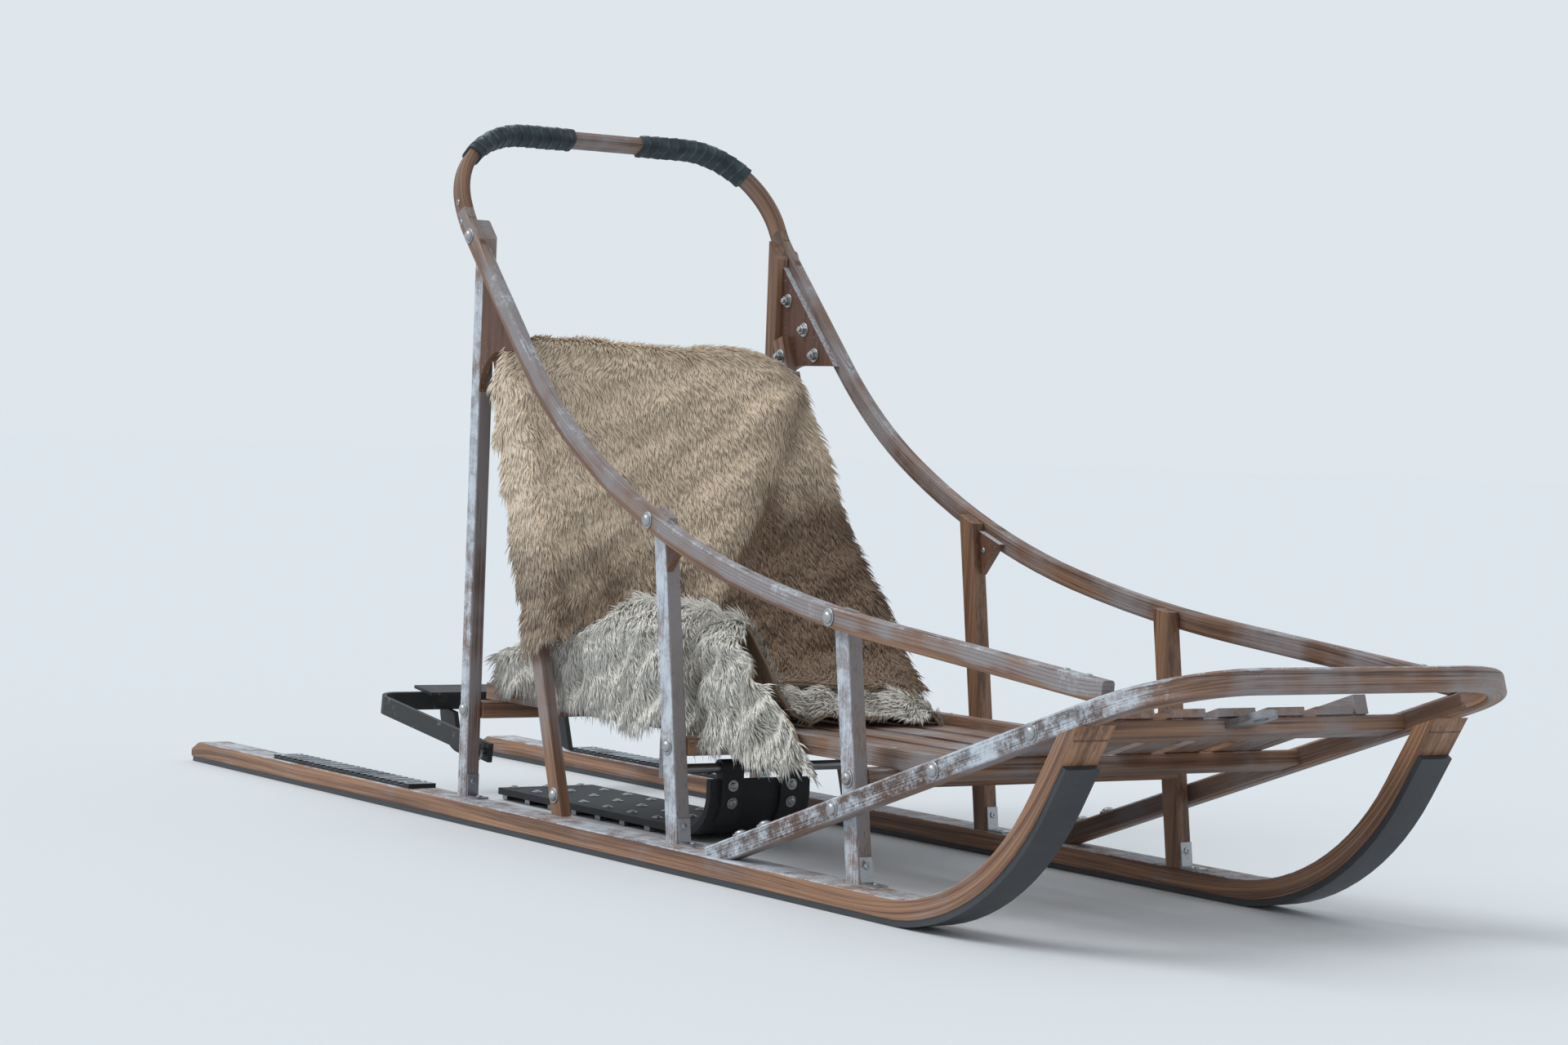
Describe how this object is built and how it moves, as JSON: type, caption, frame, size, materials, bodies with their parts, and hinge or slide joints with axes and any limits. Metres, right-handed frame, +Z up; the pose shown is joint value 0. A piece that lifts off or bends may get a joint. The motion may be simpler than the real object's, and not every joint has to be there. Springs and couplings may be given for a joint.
{
  "type": "dog sled",
  "caption": "Wooden touring dog sled: bent runners, posts, side rails up to a handle bow, slatted bed with hides over a backrest, claw brake and drag mat.",
  "frame": {"origin": "on the ground under the sled, at the middle of its length and width", "axes": "+X forward to the brush bow, +Y to the sled's left, +Z up"},
  "size_m": [2.4987, 0.606, 1.037],
  "materials": {
    "bent_wood": "weathered, oiled ash",
    "bed_wood": "oiled ash boards",
    "dark_wood": "dark stained plywood",
    "shoe_plastic": "natural polyethylene",
    "pad_rubber": "ribbed rubber",
    "wrap_cloth": "dark wound tape",
    "brown_fur": "brown reindeer hide with its hair",
    "cream_fur": "pale reindeer hide with its hair",
    "black_steel": "black paint, scuffed",
    "steel": "galvanised steel",
    "mat_rubber": "moulded rubber"
  },
  "bodies": {
    "sled": {"runner_left": "bent_wood", "runner_right": "bent_wood", "rear_post_left": "bent_wood", "rear_post_right": "bent_wood", "middle_post_left": "bent_wood", "middle_post_right": "bent_wood", "front_post_left": "bent_wood", "front_post_right": "bent_wood", "side_rail_left": "bent_wood", "side_rail_right": "bent_wood", "handle_bow": "bent_wood", "brush_bow": "bent_wood", "backrest_leg_left": "bent_wood", "backrest_leg_right": "bent_wood", "rear_crossbar": "bed_wood", "middle_crossbar": "bed_wood", "front_crossbar": "bed_wood", "slope_crossbar": "bed_wood", "nose_crossbar": "bed_wood", "bed_slats": "bed_wood", "bed_stringer_left": "bed_wood", "bed_stringer_right": "bed_wood", "backrest_boards": "bed_wood", "gusset_left": "dark_wood", "gusset_right": "dark_wood", "rail_knee_left": "dark_wood", "rail_knee_right": "dark_wood", "runner_shoe_left": "shoe_plastic", "runner_shoe_right": "shoe_plastic", "foot_pad_left": "pad_rubber", "foot_pad_right": "pad_rubber", "grip_wrap_left": "wrap_cloth", "grip_wrap_right": "wrap_cloth", "brown_hide": "brown_fur", "cream_hide": "cream_fur", "brake_pin_left": "steel", "brake_pin_right": "steel", "mat_hanger": "steel", "post_angles": "steel", "tow_eye": "steel"},
    "claw_brake": {"brake_bow": "black_steel", "brake_claws": "black_steel"},
    "drag_mat": {"mat_sheet": "mat_rubber", "mat_cleats": "steel", "mat_straps": "mat_rubber"}
  },
  "joints": [
    {"name": "claw_brake_hinge", "type": "hinge", "parent": "sled", "child": "claw_brake", "pos_m": [-0.375, 0, 0.1], "axis": [0, 1, 0], "range_deg": [-16, 0], "stiffness_Nm_per_rad": 8, "springref_deg": 34.38},
    {"name": "drag_mat_hinge", "type": "hinge", "parent": "sled", "child": "drag_mat", "pos_m": [0.01, 0, 0.11], "axis": [0, 1, 0], "range_deg": [0, 10]}
  ]
}
